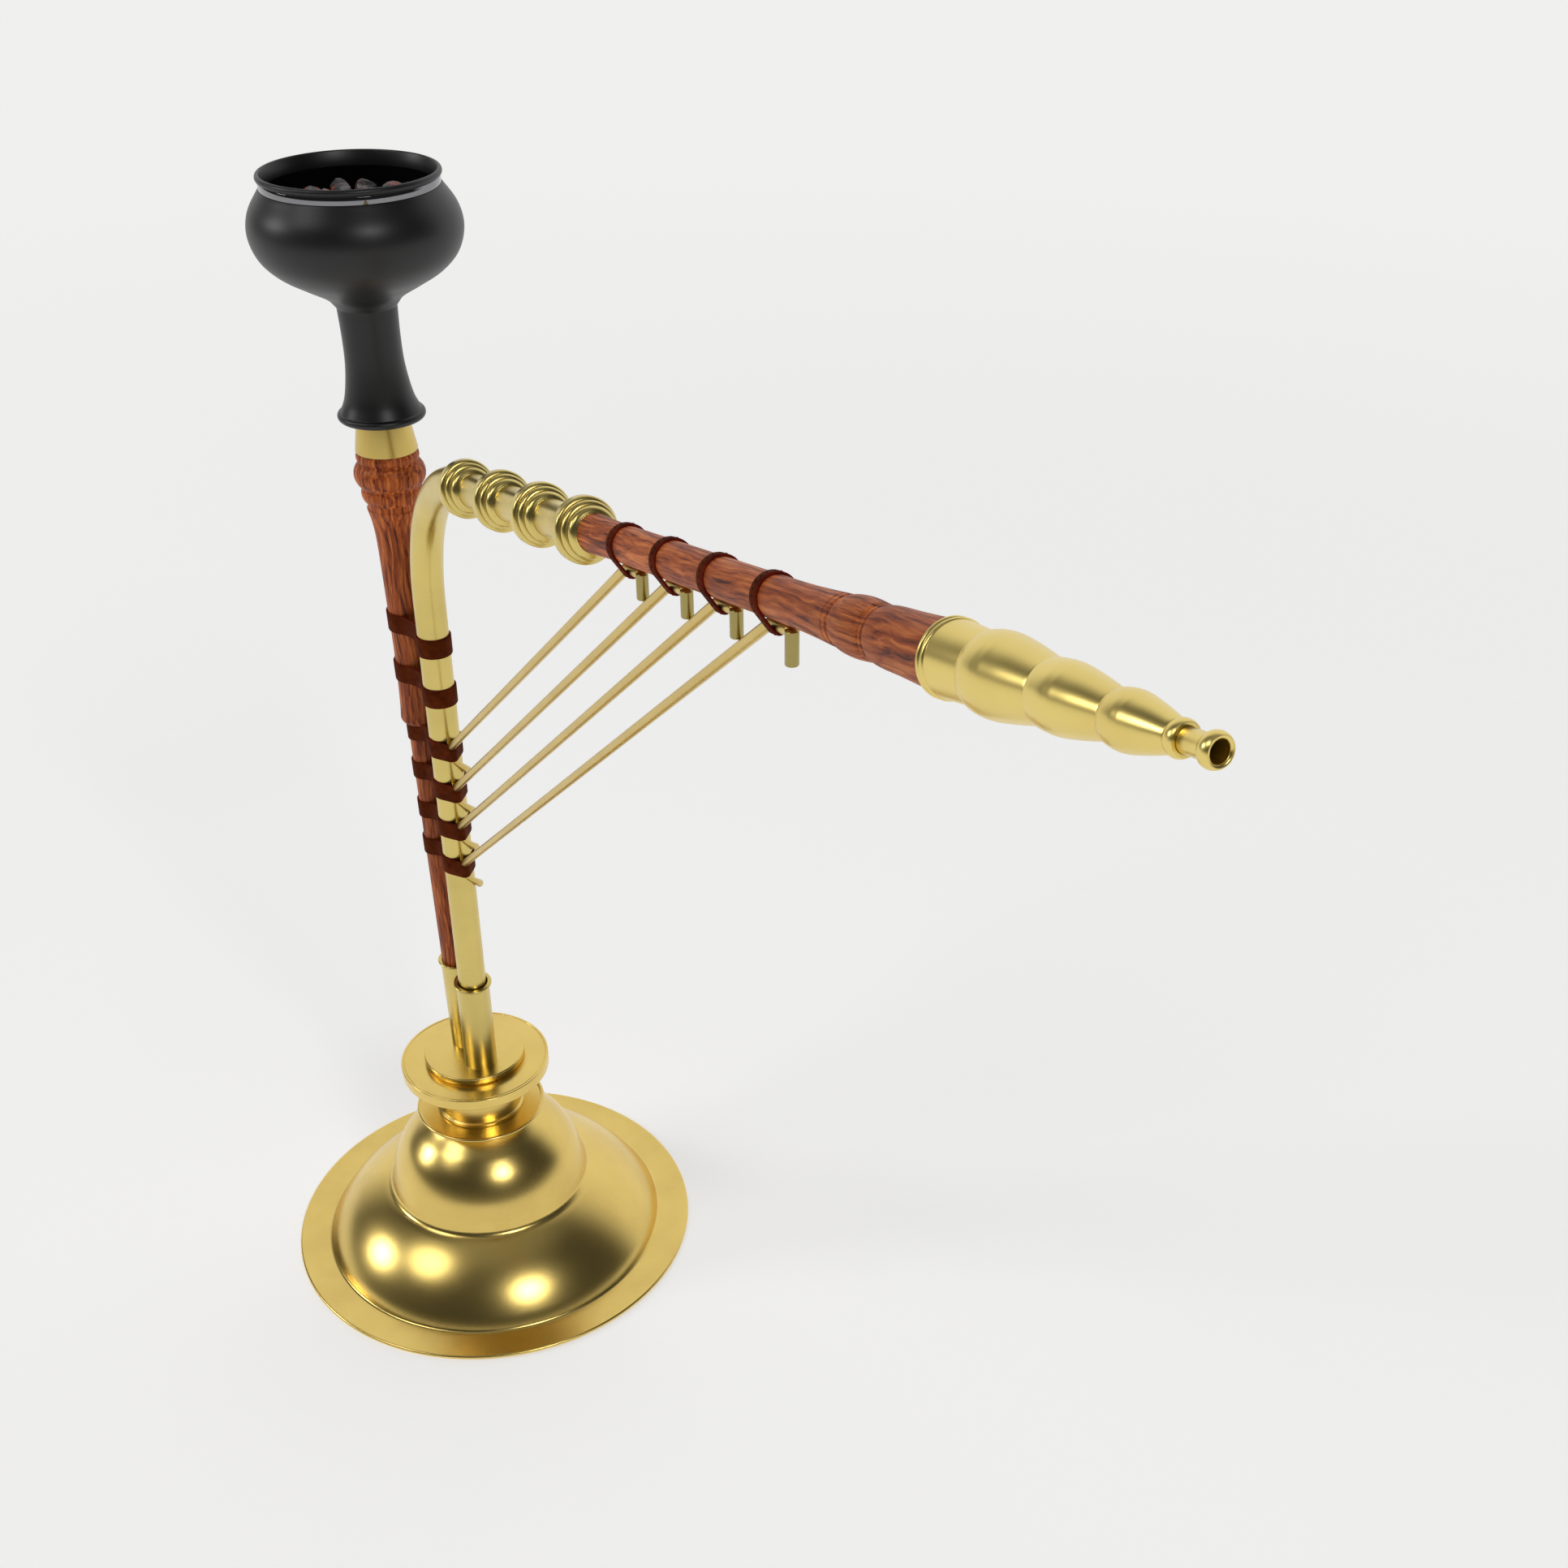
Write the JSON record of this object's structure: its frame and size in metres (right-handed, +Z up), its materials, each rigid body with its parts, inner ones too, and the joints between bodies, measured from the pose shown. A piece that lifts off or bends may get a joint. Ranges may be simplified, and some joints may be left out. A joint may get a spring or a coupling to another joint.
{
  "type": "water pipe",
  "caption": "Traditional table water pipe: domed brass water base, lift-off head with wood stem and gooseneck, black clay coal bowl and a long turned mouth pipe held up by brass brace rods.",
  "frame": {"origin": "centre of the base, on the floor it stands on", "axes": "+Z up along the neck; +X towards the mouth pipe; the object is symmetric about the plane Y = 0"},
  "size_m": [0.7536, 0.26, 0.6622],
  "materials": {
    "base_brass": "satin spun brass",
    "pipe_brass": "satin drawn brass, slightly aged",
    "mouth_brass": "satin spun brass",
    "wood": "oiled reddish hardwood with dark streaks",
    "leather": "dark brown vegetable-tanned leather",
    "clay": null,
    "band": "polished steel band",
    "screen": "heat-darkened steel sheet",
    "charcoal": null,
    "seal": "black rubber",
    "packing": "wound waxed cotton"
  },
  "bodies": {
    "base": {"foot_ring": "base_brass", "base_plate": "base_brass", "lower_dome": "base_brass", "upper_dome": "base_brass", "neck_flange": "base_brass", "neck_tube": "base_brass", "top_flange": "base_brass"},
    "seal": {"neck_seal": "seal"},
    "head": {"top_cap": "base_brass", "stem_sleeve": "pipe_brass", "pipe_sleeve": "pipe_brass", "stem_packing": "packing", "pipe_packing": "packing", "dip_tube": "pipe_brass", "lower_stem": "wood", "upper_stem": "wood", "bowl_seat": "pipe_brass", "gooseneck": "pipe_brass", "pipe_ring_1": "pipe_brass", "pipe_ring_2": "pipe_brass", "pipe_ring_3": "pipe_brass", "pipe_ring_4": "pipe_brass", "mouth_pipe": "wood", "pipe_loop_1": "leather", "pipe_loop_2": "leather", "pipe_loop_3": "leather", "pipe_loop_4": "leather", "strap_1": "leather", "strap_2": "leather", "strap_3": "leather", "strap_4": "leather", "strap_5": "leather", "strap_6": "leather", "brace_rod_1": "pipe_brass", "brace_rod_2": "pipe_brass", "brace_rod_3": "pipe_brass", "brace_rod_4": "pipe_brass"},
    "gasket": {"bowl_gasket": "seal"},
    "bowl": {"chillum": "clay", "rim_band": "band"},
    "fire": {"coal_screen": "screen", "coals": "charcoal"},
    "mouthpiece": {"mouthpiece_ferrule": "mouth_brass", "mouthpiece_bell_1": "mouth_brass", "mouthpiece_bell_2": "mouth_brass", "mouthpiece_bell_3": "mouth_brass", "tip_collar": "mouth_brass"},
    "tip": {"mouth_tip": "mouth_brass"}
  },
  "joints": [
    {"name": "head_lift", "type": "slide", "parent": "base", "child": "seal", "axis": [0, 0, 1], "range_m": [0, 0.13]},
    {"name": "head_turn", "type": "hinge", "parent": "seal", "child": "head", "pos_m": [0, 0, 0.125], "axis": [0, 0, 1], "continuous": true},
    {"name": "bowl_turn", "type": "hinge", "parent": "head", "child": "gasket", "pos_m": [-0.011, 0, 0.547], "axis": [0, 0, 1], "continuous": true},
    {"name": "bowl_lift", "type": "slide", "parent": "gasket", "child": "bowl", "axis": [0, 0, 1], "range_m": [0, 0.06]},
    {"name": "coal_lift", "type": "slide", "parent": "bowl", "child": "fire", "axis": [0, 0, 1], "range_m": [0, 0.05]},
    {"name": "mouthpiece_pull", "type": "slide", "parent": "head", "child": "mouthpiece", "axis": [0.9755, 0, 0.2198], "range_m": [0, 0.03]},
    {"name": "tip_pull", "type": "slide", "parent": "mouthpiece", "child": "tip", "axis": [0.9755, 0, 0.2198], "range_m": [0, 0.015]}
  ]
}
